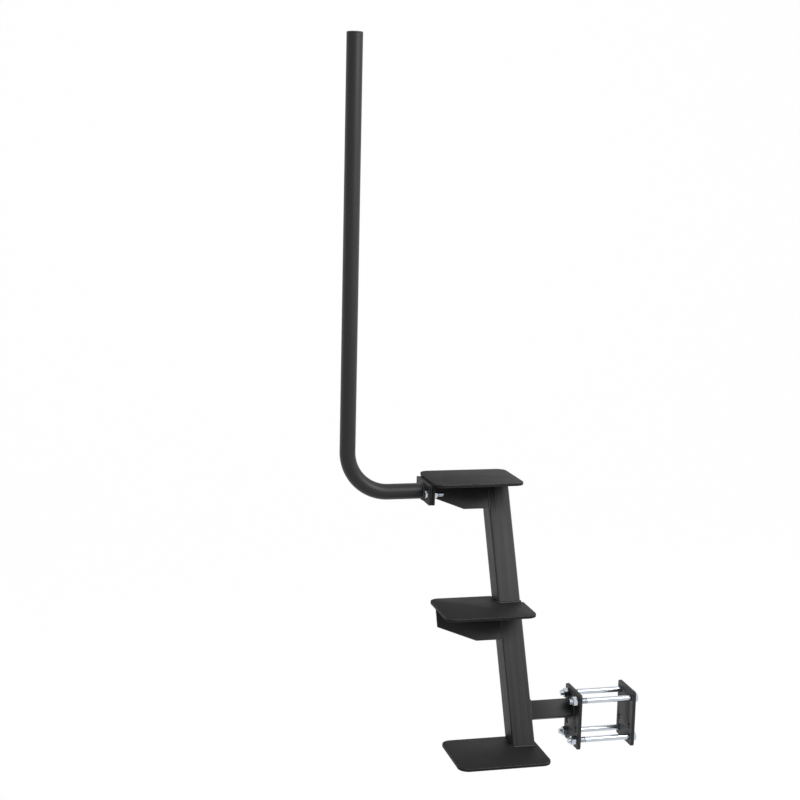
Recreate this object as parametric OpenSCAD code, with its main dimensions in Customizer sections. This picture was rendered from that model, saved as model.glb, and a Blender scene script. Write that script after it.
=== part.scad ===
/* [Riser] */
// outside width of the square riser tube
riser_w = 50.8; // [40:0.1:64]
// wall thickness of the riser tube
riser_wall = 3; // [2:0.5:5]
// outer corner radius of the riser tube
riser_corner_r = 4; // [1:0.5:8]
// lean of the riser away from the climber, in degrees from upright
lean = 25.2; // [10:0.1:35]

/* [Steps] */
// width of a step from side to side
step_w = 203.2; // [150:0.1:260]
// depth of a step from front to back
step_d = 161; // [110:1:200]
// thickness of a step plate
step_t = 6.4; // [4:0.1:10]
// corner radius of a step plate
step_corner_r = 22; // [6:1:30]
// how far the steps reach past the outer side of the riser
step_over = 6.8; // [0:0.1:12]
// rise from the bottom step to the middle step
rise_low = 281.3; // [200:1:320]
// rise from the middle step to the top step
rise_high = 266; // [200:0.5:320]
// how far the bottom step reaches out behind the riser
bottom_back = 7; // [0:0.5:12]
// how far the back edge of the middle step stands behind the riser
middle_back = 1; // [0:0.5:8]
// how far the back edge of the top step stands in front of the riser's back
top_front = 5; // [0:0.5:12]

/* [Gussets] */
// thickness of a gusset plate under a step
gusset_t = 5; // [3:0.5:8]
// depth of a gusset beside the riser
gusset_drop = 66; // [40:1:90]
// depth of a gusset at its outer end
gusset_end_drop = 35; // [15:1:60]
// length of the level part of a gusset beside the riser
gusset_level = 58; // [20:1:110]
// how far a gusset sits behind the front face of the riser
gusset_set_back = 1; // [0.5:0.5:20]
// gap between the outer end of the middle gusset and the edge of its step
gusset_end_gap = 2; // [0:0.5:12]

/* [Hand rail] */
// outside diameter of the hand rail tube
rail_d = 34.9; // [25:0.1:45]
// wall thickness of the hand rail tube
rail_wall = 2.6; // [1.5:0.1:5]
// distance from the outer edge of the steps to the middle of the upright rail
rail_reach = 181.7; // [120:0.1:260]
// bend radius of the rail, to its middle line
rail_bend_r = 92; // [60:1:140]
// height of the rail's top above the top step
rail_rise = 956.5; // [600:1:1100]
// height of the end cap's rim
cap_rim = 4; // [2:0.5:10]
// length of the end cap's plug inside the tube
cap_plug = 18; // [8:1:40]

/* [Rail flange] */
// thickness of each flange plate
flange_t = 6.4; // [4:0.1:10]
// length of the flange plates from front to back
flange_l = 115; // [90:1:140]
// height of the flange plates
flange_h = 43.6; // [34:1:60]
// corner radius of the flange plates
flange_corner_r = 4; // [1:0.5:12]
// how far the fixed flange plate reaches in under the step
flange_tuck = 3.2; // [1:0.1:10]
// distance between the two flange bolts
flange_bolt_gap = 84; // [60:1:100]
// level distance from the back of the top gusset to the middle of the back flange bolt
gusset_to_bolt = 16.1; // [14:0.1:30]
// diameter of the flange bolts
flange_bolt_d = 9.5; // [6:0.5:13]
// length of the flange bolts under the head
flange_bolt_l = 35; // [30:1:60]

/* [Arm and clamp] */
// outside width of the square arm tube
arm_w = 40; // [30:0.1:50.8]
// wall thickness of the arm tube
arm_wall = 3; // [2:0.5:5]
// outer corner radius of the arm tube
arm_corner_r = 3; // [1:0.5:6]
// height of the middle of the arm above the bottom step, on the riser's middle line
arm_height = 58.2; // [35:1:200]
// length of the arm from the riser to the clamp
arm_l = 99.1; // [60:0.1:200]
// width of a clamp plate from front to back
clamp_w = 88.9; // [70:0.1:120]
// height of a clamp plate
clamp_h = 123.8; // [95:0.05:160]
// thickness of a clamp plate
clamp_t = 6.4; // [4:0.1:12]
// corner radius of the clamp plates
clamp_corner_r = 6; // [1:0.5:12]
// clear width between the two clamp plates
clamp_gap = 118.2; // [60:0.1:130]
// how far the middle of the clamp sits behind the riser's foot
clamp_back = 20; // [0:0.1:60]
// height of the middle of the clamp above the bottom step
clamp_up = 41.4; // [20:0.1:200]

/* [Clamp bolts] */
// diameter of the clamp bolts
bolt_d = 12.7; // [8:0.1:16]
// distance between the upper and the lower bolts
bolt_gap_up = 88.9; // [60:0.1:110]
// distance between the front and the back bolts
bolt_gap_deep = 57.15; // [40:0.05:80]
// how far the spare holes sit above the lower bolts
spare_up = 25.4; // [18:0.1:50]
// length of the clamp bolts under the head
bolt_l = 149; // [100:1:180]
// width across the flats of the clamp bolt heads and nuts
bolt_af = 19; // [13:0.5:24]
// height of a clamp bolt head
bolt_head_h = 8; // [5:0.5:12]
// height of a clamp nut
nut_h = 11; // [6:0.5:14]
// width across the flats of the flange bolt heads and nuts
flange_bolt_af = 14.3; // [10:0.1:19]
// height of a flange bolt head
flange_head_h = 6; // [4:0.5:9]
// height of a flange nut
flange_nut_h = 8.2; // [5:0.1:11]

/* [Clearances] */
// gap around a bolt in the hole of a plate
hole_gap = 0.8; // [0.3:0.1:2]
// gap around a bolt in its nut
thread_gap = 0.3; // [0.2:0.05:0.6]
// gap that a welded or fitted piece leaves around its neighbour
fit_gap = 0.3; // [0.1:0.05:0.5]

/* [Hidden] */
$fn = 96;
// heights of the step tops above the bottom step's top
middle_z = rise_low;
top_z = rise_low + rise_high;
// half of the riser's depth, measured level from front to back
half_deep = riser_w / 2 / cos(lean);
// sides of the steps
step_right = riser_w / 2 + step_over;
step_left = step_right - step_w;
// place of the hand rail
rail_x = step_left - rail_reach;
flange_top_z = top_z - step_t;
rail_z = flange_top_z - flange_h / 2;
fixed_flange_x = step_left + flange_tuck - flange_t;
loose_flange_x = fixed_flange_x - flange_t;
top_back_y = back_of(top_z - step_t) - top_front;
rail_y = gusset_back(rail_z) + gusset_to_bolt - flange_bolt_gap / 2;
// place of the clamp
fixed_plate_x = riser_w / 2 + arm_l;
clamp_x = fixed_plate_x + clamp_t;
outer_plate_x = clamp_x + clamp_gap;
// where the heads of the clamp bolts bear on the outer clamp plate
clamp_head_x = outer_plate_x + clamp_t;
// how far a block that trims a piece runs past it
overrun = 60;
// how far the cutter of a hole passes each face
cut = 1;
// length of the riser's tube before its ends are trimmed level
riser_blank = top_z / cos(lean) + 2 * overrun;
// depth from the climber's side that takes in the whole leaning riser
riser_span = back_of(top_z) + 2 * riser_w;

// level distance from the riser's foot to its back face at a height
function back_of(z) = z * tan(lean) + half_deep;

// level distance from the riser's foot to the back face of a gusset at a height
function gusset_back(z) = z * tan(lean) + (gusset_set_back + gusset_t - riser_w / 2) / cos(lean);

// puts a piece measured from the riser's foot into the clamp's frame
module placed()
{
    translate([-clamp_x, -clamp_back, -clamp_up])
        children();
}

// flat outline with four round corners, its lower left corner at the origin
module round_rect(w, d, r)
{
    translate([r, 0])
        square([w - 2 * r, d]);
    translate([0, r])
        square([w, d - 2 * r]);
    translate([r, r])
        circle(r = r);
    translate([w - r, r])
        circle(r = r);
    translate([r, d - r])
        circle(r = r);
    translate([w - r, d - r])
        circle(r = r);
}

// square tube along Z with its middle on the axis
module square_tube(w, wall, r, l)
{
    difference()
    {
        translate([-w / 2, -w / 2, 0])
            linear_extrude(l)
                round_rect(w, w, r);
        translate([wall - w / 2, wall - w / 2, -cut])
            cube([w - 2 * wall, w - 2 * wall, l + 2 * cut]);
    }
}

// plate square to X, from the origin towards positive X, with its middle on the X axis
module upright_plate(deep, high, thick, r)
{
    rotate([90, 0, 90])
        linear_extrude(thick)
            translate([-deep / 2, -high / 2])
                round_rect(deep, high, r);
}

module leaned()
{
    rotate([-lean, 0, 0])
        children();
}

// room for the riser and all beside and behind it, along its lean
module riser_room(gap)
{
    leaned()
        translate([-riser_w / 2 - gap, -riser_w / 2 - gap, -overrun])
            cube([2 * riser_w, 4 * riser_w, riser_blank]);
}

module riser()
{
    color("black")
        placed()
            intersection()
            {
                leaned()
                    translate([0, 0, -overrun])
                        square_tube(riser_w, riser_wall, riser_corner_r, riser_blank);
                translate([-riser_w, -riser_w, 0])
                    cube([2 * riser_w, riser_span, top_z - step_t]);
            }
}

// step plate with its top at height z and its back edge at y
module step_plate(z, y)
{
    translate([step_left, y - step_d, z - step_t])
        linear_extrude(step_t)
            round_rect(step_w, step_d, step_corner_r);
}

module bottom_step()
{
    color("black")
        placed()
            step_plate(0, back_of(0) + bottom_back);
}

module middle_step()
{
    color("black")
        placed()
            difference()
            {
                step_plate(middle_z, back_of(middle_z) + middle_back);
                riser_room(fit_gap);
            }
}

module top_step()
{
    color("black")
        placed()
            step_plate(top_z, top_back_y);
}

// gusset beside the riser under a step with its top at height z
module gusset(z, end_x)
{
    under = z - step_t;
    side_x = -riser_w / 2 - fit_gap / 3;
    front = gusset_set_back - riser_w / 2;
    foot = (under + front * sin(lean)) / cos(lean);
    drop = gusset_drop / cos(lean);
    end_drop = gusset_end_drop / cos(lean);
    intersection()
    {
        leaned()
            translate([0, front + gusset_t, foot])
                rotate([90, 0, 0])
                    linear_extrude(gusset_t)
                        polygon([[side_x, overrun], [side_x, -drop], [side_x - gusset_level, -drop],
                            [end_x, -end_drop], [end_x, overrun]]);
        translate([end_x, -riser_w, 0])
            cube([side_x - end_x, riser_span, under]);
    }
}

module middle_gusset()
{
    color("black")
        placed()
            gusset(middle_z, step_left + gusset_end_gap);
}

module top_gusset()
{
    color("black")
        placed()
            gusset(top_z, fixed_flange_x + flange_t);
}

module fixed_flange()
{
    color("black")
        placed()
            difference()
            {
                flange_plate(fixed_flange_x);
                flange_holes();
            }
}

module flange_plate(x)
{
    translate([x, rail_y, rail_z])
        upright_plate(flange_l, flange_h, flange_t, flange_corner_r);
}

module flange_holes()
{
    for (s = [-1, 1])
        translate([loose_flange_x - cut, rail_y + s * flange_bolt_gap / 2, rail_z])
            rotate([0, 90, 0])
                cylinder(d = flange_bolt_d + 2 * hole_gap, h = 2 * flange_t + 2 * cut);
}

module rail_flange()
{
    color("black")
        placed()
            difference()
            {
                flange_plate(loose_flange_x);
                flange_holes();
            }
}

// rail from its top, down, round the bend and along to the flange
module rail_path(d)
{
    translate([rail_x, rail_y, rail_z + rail_bend_r])
        cylinder(d = d, h = top_z + rail_rise - cap_rim - rail_z - rail_bend_r);
    translate([rail_x + rail_bend_r, rail_y, rail_z + rail_bend_r])
        rotate([90, 0, 0])
            rotate([0, 0, 180])
                rotate_extrude(angle = 90)
                    translate([rail_bend_r, 0])
                        circle(d = d);
    translate([rail_x + rail_bend_r, rail_y, rail_z])
        rotate([0, 90, 0])
            cylinder(d = d, h = loose_flange_x - rail_x - rail_bend_r);
}

module hand_rail()
{
    color("black")
        placed()
            difference()
            {
                rail_path(rail_d);
                rail_path(rail_d - 2 * rail_wall);
            }
}

module rail_cap()
{
    color("black")
        placed()
            translate([rail_x, rail_y, top_z + rail_rise - cap_rim])
            {
                cylinder(d = rail_d, h = cap_rim);
                translate([0, 0, -cap_plug])
                    cylinder(d = rail_d - 2 * rail_wall - 2 * fit_gap, h = cap_plug + cap_rim / 2);
            }
}

// hexagon along X with its flats upright
module hexagon(af, h)
{
    rotate([0, 90, 0])
        cylinder(d = af / cos(30), h = h, $fn = 6);
}

module rail_bolt(s)
{
    color("silver")
        placed()
            translate([loose_flange_x, rail_y + s * flange_bolt_gap / 2, rail_z])
            {
                rotate([0, 90, 0])
                    cylinder(d = flange_bolt_d, h = flange_bolt_l);
                translate([-flange_head_h, 0, 0])
                    hexagon(flange_bolt_af, flange_head_h);
            }
}

module rail_nut(s)
{
    color("silver")
        placed()
            translate([fixed_flange_x + flange_t, rail_y + s * flange_bolt_gap / 2, rail_z])
                difference()
                {
                    hexagon(flange_bolt_af, flange_nut_h);
                    translate([-cut, 0, 0])
                        rotate([0, 90, 0])
                            cylinder(d = flange_bolt_d + 2 * thread_gap, h = flange_nut_h + 2 * cut);
                }
}

module rail_bolt_front() { rail_bolt(-1); }
module rail_bolt_back() { rail_bolt(1); }
module rail_nut_front() { rail_nut(-1); }
module rail_nut_back() { rail_nut(1); }

module arm()
{
    color("black")
        placed()
            leaned()
                translate([riser_w / 2, 0, arm_height / cos(lean)])
                    rotate([0, 90, 0])
                        square_tube(arm_w, arm_wall, arm_corner_r, arm_l);
}

// clamp plate with its clamp side at x, thick towards positive X
module clamp_plate(x)
{
    difference()
    {
        translate([x, clamp_back, clamp_up])
            upright_plate(clamp_w, clamp_h, clamp_t, clamp_corner_r);
        for (sy = [-1, 1])
            for (up = [bolt_gap_up / 2, -bolt_gap_up / 2, spare_up - bolt_gap_up / 2])
                translate([x - cut, clamp_back + sy * bolt_gap_deep / 2, clamp_up + up])
                    rotate([0, 90, 0])
                        cylinder(d = bolt_d + 2 * hole_gap, h = clamp_t + 2 * cut);
    }
}

module fixed_clamp_plate()
{
    color("black")
        placed()
            clamp_plate(fixed_plate_x);
}

module outer_clamp_plate()
{
    color("black")
        placed()
            clamp_plate(outer_plate_x);
}

// moves to a clamp bolt's axis: sy is front or back, sz is lower or upper
module at_bolt(x, sy, sz)
{
    translate([x, clamp_back + sy * bolt_gap_deep / 2, clamp_up + sz * bolt_gap_up / 2])
        children();
}

module clamp_bolt(sy, sz)
{
    color("silver")
        placed()
            at_bolt(clamp_head_x, sy, sz)
            {
                translate([-bolt_l, 0, 0])
                    rotate([0, 90, 0])
                        cylinder(d = bolt_d, h = bolt_l + bolt_head_h / 2);
                hexagon(bolt_af, bolt_head_h);
            }
}

module clamp_nut(sy, sz)
{
    color("silver")
        placed()
            at_bolt(fixed_plate_x - nut_h, sy, sz)
                difference()
                {
                    hexagon(bolt_af, nut_h);
                    translate([-cut, 0, 0])
                        rotate([0, 90, 0])
                            cylinder(d = bolt_d + 2 * thread_gap, h = nut_h + 2 * cut);
                }
}

module bolt_upper_front() { clamp_bolt(-1, 1); }
module bolt_upper_back() { clamp_bolt(1, 1); }
module bolt_lower_front() { clamp_bolt(-1, -1); }
module bolt_lower_back() { clamp_bolt(1, -1); }
module nut_upper_front() { clamp_nut(-1, 1); }
module nut_upper_back() { clamp_nut(1, 1); }
module nut_lower_front() { clamp_nut(-1, -1); }
module nut_lower_back() { clamp_nut(1, -1); }

riser();
bottom_step();
middle_step();
top_step();
middle_gusset();
top_gusset();
fixed_flange();
rail_flange();
hand_rail();
rail_cap();
rail_bolt_front();
rail_bolt_back();
rail_nut_front();
rail_nut_back();
arm();
fixed_clamp_plate();
outer_clamp_plate();
bolt_upper_front();
bolt_upper_back();
bolt_lower_front();
bolt_lower_back();
nut_upper_front();
nut_upper_back();
nut_lower_front();
nut_lower_back();
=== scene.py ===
# %% [markdown]
# A trailer tongue ladder
#
# This script dresses a trailer tongue ladder: a leaning square riser with three steps, a bent hand
# rail bolted to the top step, and a clamp of two plates and four long bolts that holds on to the
# tongue of a trailer. The solids come ready made, in metres, with the origin in the middle of the
# fixed clamp plate, X to the right, Y away from the climber and Z up. The script gives them their
# rolled edges, weld beads, screw threads and finishes, and then the light and the camera.

# %% Load the solids
from math import ceil, cos, pi, radians, sin, tan

import bmesh
import bpy
from mathutils import Matrix, Vector


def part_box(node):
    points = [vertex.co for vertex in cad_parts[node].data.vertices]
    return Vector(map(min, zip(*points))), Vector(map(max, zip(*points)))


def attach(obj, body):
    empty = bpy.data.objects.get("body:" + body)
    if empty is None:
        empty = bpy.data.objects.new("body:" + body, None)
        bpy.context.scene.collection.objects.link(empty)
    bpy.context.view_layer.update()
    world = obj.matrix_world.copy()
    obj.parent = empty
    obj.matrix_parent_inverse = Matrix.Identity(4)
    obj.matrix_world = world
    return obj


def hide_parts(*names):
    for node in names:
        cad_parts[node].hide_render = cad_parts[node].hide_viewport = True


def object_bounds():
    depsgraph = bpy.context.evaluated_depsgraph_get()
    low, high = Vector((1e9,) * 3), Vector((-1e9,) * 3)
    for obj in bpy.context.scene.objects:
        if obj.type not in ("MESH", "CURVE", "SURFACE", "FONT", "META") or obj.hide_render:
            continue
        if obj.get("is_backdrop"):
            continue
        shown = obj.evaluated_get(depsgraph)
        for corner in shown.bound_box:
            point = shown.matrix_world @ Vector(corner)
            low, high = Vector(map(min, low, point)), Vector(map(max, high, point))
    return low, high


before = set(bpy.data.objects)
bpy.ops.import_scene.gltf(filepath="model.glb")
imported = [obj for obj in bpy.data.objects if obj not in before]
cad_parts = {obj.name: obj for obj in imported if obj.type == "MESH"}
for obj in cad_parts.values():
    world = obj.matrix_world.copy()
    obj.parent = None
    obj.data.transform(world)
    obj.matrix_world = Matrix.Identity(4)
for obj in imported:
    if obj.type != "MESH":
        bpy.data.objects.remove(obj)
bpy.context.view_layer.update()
MM = 0.001
scene = bpy.context.scene

# %% [markdown]
# The main sizes
#
# A maker works from a cutting list, so the sizes that the dressed pieces share are named here once.

# %% Sizes and places
LADDER = "ladder"
JAW = "clamp_jaw"
RISER_W = 50.8 * MM
RISER_CORNER = 4 * MM
LEAN = radians(25.2)
RAIL_D = 34.9 * MM
RAIL_WALL = 2.6 * MM
RAIL_BEND = 92 * MM
ARM_W = 40 * MM
ARM_CORNER = 3 * MM

riser_low, riser_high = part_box("riser")
foot_z = riser_low.z
foot = Vector(((riser_low.x + riser_high.x) / 2, riser_low.y + RISER_W / 2 / cos(LEAN), foot_z))
middle_low, middle_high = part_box("middle_step")
top_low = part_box("top_step")[0]
arm_low, arm_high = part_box("arm")
fixed_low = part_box("fixed_clamp_plate")[0]
print("riser's foot in mm:", [round(v / MM, 1) for v in foot])

# %% [markdown]
# Small helpers
#
# A piece starts as points and faces, or as a piece with modifiers that are then turned into one
# plain mesh. A node tree is a list of nodes and links, and a few short helpers keep each tree short
# enough to read: one adds a node and sets its plain values, and others do sums and make noise.

# %% Helpers for meshes
def placed(name, mesh):
    """Puts a mesh in the scene as an object of that name."""
    piece = bpy.data.objects.new(name, mesh)
    scene.collection.objects.link(piece)
    return piece


def new_piece(name, points, faces, edges=()):
    mesh = bpy.data.meshes.new(name)
    mesh.from_pydata([tuple(p) for p in points], edges, faces)
    mesh.update()
    return placed(name, mesh)


def baked(piece, name=None):
    """Turns a piece and its live modifiers into one plain mesh, in the same place."""
    bpy.context.view_layer.update()
    evaluated = piece.evaluated_get(bpy.context.evaluated_depsgraph_get())
    mesh = bpy.data.meshes.new_from_object(evaluated)
    name = name or piece.name
    bpy.data.objects.remove(piece)
    mesh.name = name
    return placed(name, mesh)


def face_outwards(piece, merge_within=0.0):
    """Merges doubled points, if asked, and turns every face outwards."""
    bm = bmesh.new()
    bm.from_mesh(piece.data)
    if merge_within:
        bmesh.ops.remove_doubles(bm, verts=bm.verts, dist=merge_within)
    bmesh.ops.recalc_face_normals(bm, faces=bm.faces)
    for face in bm.faces:
        face.smooth = True
    bm.to_mesh(piece.data)
    bm.free()
    return piece


# %% Helpers for nodes
def add_node(tree, kind, links=(), **settings):
    """Adds a node. links pairs an input's name or number with an output socket or a plain value."""
    node = tree.nodes.new(kind)
    for name, value in settings.items():
        setattr(node, name, value)
    for key, value in dict(links).items():
        if isinstance(value, bpy.types.NodeSocket):
            tree.links.new(value, node.inputs[key])
        else:
            node.inputs[key].default_value = value
    return node


def math_node(tree, operation, a, b=0.0):
    return add_node(tree, "ShaderNodeMath", {0: a, 1: b}, operation=operation).outputs[0]


def noise(tree, place, scale, detail=2.0, roughness=0.5):
    """Noise from 0 to 1 that goes through scale lumps a metre."""
    return add_node(tree, "ShaderNodeTexNoise", {"Vector": place, "Scale": scale, "Detail": detail,
                                                 "Roughness": roughness}).outputs[0]


def swing(tree, value, amount):
    """Turns a value from 0 to 1 into one that swings to both sides of 0."""
    return math_node(tree, "MULTIPLY", math_node(tree, "SUBTRACT", value, 0.5), amount)


def new_material(name):
    """A material with its node tree and its Principled shader."""
    material = bpy.data.materials.new(name)
    material.use_nodes = True
    return material, material.node_tree, material.node_tree.nodes["Principled BSDF"]


# %% [markdown]
# One coat for every steel piece
#
# The frame is sprayed with a fine textured black powder, which is baked until it flows. It dries to a
# skin of tiny lumps that break up the gloss, a little thinner on the edges and a little glossier
# where it pools. Faint streaks run along the riser's rolled tube: painted reflections in its colour,
# and bands of rougher and smoother powder. A flat grey would look like plastic. One node group makes
# the grain, the slow drift of colour, the streaks and the lighter edges, which stand for rubbed paint
# and a painted highlight, and each paint places it with its own values.

# %% Powder grain group
STREAK_SIZE = (6 * MM, 6 * MM, 500 * MM)


def powder_group():
    tree = bpy.data.node_groups.new("powder_grain", "ShaderNodeTree")
    face = tree.interface
    sizes = {"Grain Size": 0.9, "Grain Depth": 0.5, "Drift": 0.5, "Streaks": 0.0, "Edge Rub And Highlight": 0.5}
    colours = {"Colour": (0.03, 0.03, 0.032, 1), "Rub And Highlight Colour": (0.08, 0.08, 0.08, 1)}
    for name, value in sizes.items():
        face.new_socket(name, in_out="INPUT", socket_type="NodeSocketFloat").default_value = value
    for name, value in colours.items():
        face.new_socket(name, in_out="INPUT", socket_type="NodeSocketColor").default_value = value
    face.new_socket("Coat Colour", in_out="OUTPUT", socket_type="NodeSocketColor")
    face.new_socket("Grain Height", in_out="OUTPUT", socket_type="NodeSocketFloat")
    face.new_socket("Roughness", in_out="OUTPUT", socket_type="NodeSocketFloat")
    given = add_node(tree, "NodeGroupInput").outputs
    place = add_node(tree, "ShaderNodeTexCoord").outputs["Object"]

    # the lumps of the powder, with pits about twice as wide between them
    per_metre = math_node(tree, "DIVIDE", 1000.0, given["Grain Size"])
    lumps = noise(tree, place, per_metre, roughness=0.55)
    coarser = math_node(tree, "MULTIPLY", per_metre, 0.45)
    pits = add_node(tree, "ShaderNodeTexVoronoi", {"Vector": place, "Scale": coarser},
                    feature="SMOOTH_F1").outputs["Distance"]
    grain = math_node(tree, "ADD", lumps, math_node(tree, "MULTIPLY", pits, 0.45))
    height = math_node(tree, "MULTIPLY", grain, given["Grain Depth"])

    # a slow drift of the colour, streaks of painted reflection along the lean, and a speck for each lump
    drift = swing(tree, noise(tree, place, 14.0, detail=3.0), given["Drift"])
    along_lean = add_node(tree, "ShaderNodeMapping", {"Vector": place, "Rotation": (-LEAN, 0, 0),
                                                      "Scale": STREAK_SIZE}, vector_type="TEXTURE")
    lean_streaks_and_sheen = swing(tree, noise(tree, along_lean.outputs[0], 1.0), given["Streaks"])
    drift = math_node(tree, "ADD", drift, lean_streaks_and_sheen)
    shade = math_node(tree, "ADD", 1.0, drift)
    speck = math_node(tree, "ADD", shade, swing(tree, lumps, 0.5))
    coat = add_node(tree, "ShaderNodeVectorMath", {0: given["Colour"], "Scale": speck},
                    operation="SCALE").outputs[0]

    # the edges made lighter in broken patches: paint rubbed thin, and a painted highlight
    edge = add_node(tree, "ShaderNodeAttribute", attribute_name="edge").outputs["Fac"]
    broken = add_node(tree, "ShaderNodeMapRange", {0: noise(tree, place, 160.0, detail=4.0),
                                                   1: 0.4, 2: 0.7, 3: 0.25, 4: 1.0}).outputs[0]
    edge_rub_and_highlight = math_node(tree, "MULTIPLY", math_node(tree, "MULTIPLY", edge, broken), given["Edge Rub And Highlight"])
    colour = add_node(tree, "ShaderNodeMix", {"Factor": edge_rub_and_highlight}, data_type="RGBA")
    tree.links.new(coat, colour.inputs[6])
    tree.links.new(given["Rub And Highlight Colour"], colour.inputs[7])

    rough = math_node(tree, "ADD", 0.5, math_node(tree, "MULTIPLY", drift, 0.35))
    rough = math_node(tree, "ADD", rough, swing(tree, lumps, 0.22))
    add_node(tree, "NodeGroupOutput", {"Coat Colour": colour.outputs[2], "Grain Height": height,
                                       "Roughness": rough})
    return tree


powder = powder_group()
print("powder_grain group:", len(powder.nodes), "nodes")

# %% [markdown]
# The paints
#
# The frame, the weld beads and the hand rail share one powder, but not one look. On the plates the
# grain is open. The drawn rail tube is smoother, so its sides shine. On the weld beads the powder
# flows together and is glossier. The treads' edges are much lighter, worn paint and a painted
# highlight. The colours differ too: the riser's is lighter and the treads' darker, as painted light
# and shade. Each look could have its own tree, but one group with six sets of values keeps them
# alike. The numbers that are the same all over sit on the shader's own sockets, and only colour,
# roughness and bump come from the group.

# %% Paint materials
def paint(name, colour, grain_size, grain_depth, rough_shift, specular,
          edge_rub_and_highlight=0.5, edge_rub_and_highlight_gain=1.9, bump=0.35, streaks_and_sheen=0.0):
    """A coat in one colour. The edge gain is how many times lighter the colour is on an edge: rubbed paint
    and a painted highlight.
    """
    material, tree, shader = new_material(name)
    coat = add_node(tree, "ShaderNodeGroup", node_tree=powder)
    values = {"Grain Size": grain_size, "Grain Depth": grain_depth, "Streaks": streaks_and_sheen, "Edge Rub And Highlight": edge_rub_and_highlight,
              "Colour": (*colour, 1), "Rub And Highlight Colour": (*[c * edge_rub_and_highlight_gain for c in colour], 1)}
    for key, value in values.items():
        coat.inputs[key].default_value = value
    lumps = add_node(tree, "ShaderNodeBump", {"Height": coat.outputs["Grain Height"],
                                              "Distance": 0.1 * MM, "Strength": bump})
    rough = math_node(tree, "ADD", coat.outputs["Roughness"], rough_shift)
    tree.links.new(coat.outputs["Coat Colour"], shader.inputs["Base Color"])
    tree.links.new(rough, shader.inputs["Roughness"])
    tree.links.new(lumps.outputs[0], shader.inputs["Normal"])
    shader.inputs["Specular IOR Level"].default_value = specular
    return material


# the riser's colour is a lighter copy and the treads' a darker copy of the powder: painted light and shade
frame_black = paint("black_powder_coat", (0.030, 0.030, 0.032), grain_size=0.9, grain_depth=0.6,
                    rough_shift=0.0, specular=0.30)
# the riser's streaks are painted reflections along its length, and rougher and smoother bands
lit_riser_black = paint("riser_powder_coat", (0.052, 0.052, 0.053), grain_size=0.9, grain_depth=0.6,
                    rough_shift=0.0, specular=0.22, streaks_and_sheen=2.0)
flange_black = paint("flange_powder_coat", (0.020, 0.020, 0.021), grain_size=0.9, grain_depth=0.6,
                     rough_shift=0.0, specular=0.18, edge_rub_and_highlight=0.0)
# the treads' edges are made seven times lighter: a painted highlight more than worn paint
shaded_tread_black = paint("step_powder_coat", (0.018, 0.018, 0.019), grain_size=1.2, grain_depth=0.9,
                    rough_shift=0.12, specular=0.17, edge_rub_and_highlight=1.0, edge_rub_and_highlight_gain=7.0, bump=0.5)
rail_black = paint("rail_powder_coat", (0.0195, 0.0195, 0.0210), grain_size=0.8, grain_depth=0.5,
                   rough_shift=-0.06, specular=0.36, bump=0.3)
weld_black = paint("weld_powder_coat", (0.0210, 0.0210, 0.0225), grain_size=0.7, grain_depth=0.3,
                   rough_shift=-0.1, specular=0.36, edge_rub_and_highlight=0.0, bump=0.2)
paints = (frame_black, lit_riser_black, flange_black, shaded_tread_black, rail_black, weld_black)
print("paints:", [material.name for material in paints])

# %% [markdown]
# Zinc plate and moulded plastic
#
# The bolts and nuts are steel with a bright zinc plate, a metal with a bluish shine that
# is clouded and finely lined by the tools that turned it. The plug in the rail's end is black
# plastic with a soft, even sheen and a very fine mould grain. Both are noise in the object's own
# space. A picture would first need each small part to be unwrapped, and noise fits them all.

# %% Zinc and plastic materials
def tinted(tree, factor, dark, light):
    """A colour that goes from dark to light with the factor."""
    tint = add_node(tree, "ShaderNodeMix", {"Factor": factor}, data_type="RGBA")
    tint.inputs[6].default_value = (*dark, 1)
    tint.inputs[7].default_value = (*light, 1)
    return tint.outputs[2]


def zinc_plate(name, base, rough):
    material, tree, shader = new_material(name)
    place = add_node(tree, "ShaderNodeTexCoord").outputs["Object"]
    clouds = noise(tree, place, 120.0, detail=4.0)
    stretch = add_node(tree, "ShaderNodeMapping", {"Vector": place, "Scale": (3200.0, 260.0, 260.0)})
    lines = noise(tree, stretch.outputs[0], 1.0)
    dark = (base[0] * 0.86, base[1] * 0.89, base[2] * 0.95)
    light = (base[0] * 1.06, base[1] * 1.06, base[2] * 1.04)
    tree.links.new(tinted(tree, clouds, dark, light), shader.inputs["Base Color"])
    uneven = math_node(tree, "ADD", rough, swing(tree, clouds, 0.12))
    tree.links.new(uneven, shader.inputs["Roughness"])
    bump = add_node(tree, "ShaderNodeBump", {"Height": lines, "Distance": 0.02 * MM, "Strength": 0.12})
    tree.links.new(bump.outputs[0], shader.inputs["Normal"])
    shader.inputs["Metallic"].default_value = 1.0
    return material


def moulded_plastic(name, colour):
    material, tree, shader = new_material(name)
    place = add_node(tree, "ShaderNodeTexCoord").outputs["Object"]
    fine = noise(tree, place, 1600.0)
    slow = noise(tree, place, 60.0)
    dark, light = [c * 0.85 for c in colour], [c * 1.15 for c in colour]
    tree.links.new(tinted(tree, slow, dark, light), shader.inputs["Base Color"])
    rough = math_node(tree, "ADD", 0.4, math_node(tree, "MULTIPLY", slow, 0.14))
    tree.links.new(rough, shader.inputs["Roughness"])
    bump = add_node(tree, "ShaderNodeBump", {"Height": fine, "Distance": 0.03 * MM, "Strength": 0.3})
    tree.links.new(bump.outputs[0], shader.inputs["Normal"])
    return material


zinc = zinc_plate("bright_zinc", (0.56, 0.59, 0.63), rough=0.20)
cap_plastic = moulded_plastic("black_cap_plastic", (0.030, 0.030, 0.030))
print("other finishes:", zinc.name, cap_plastic.name)

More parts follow.
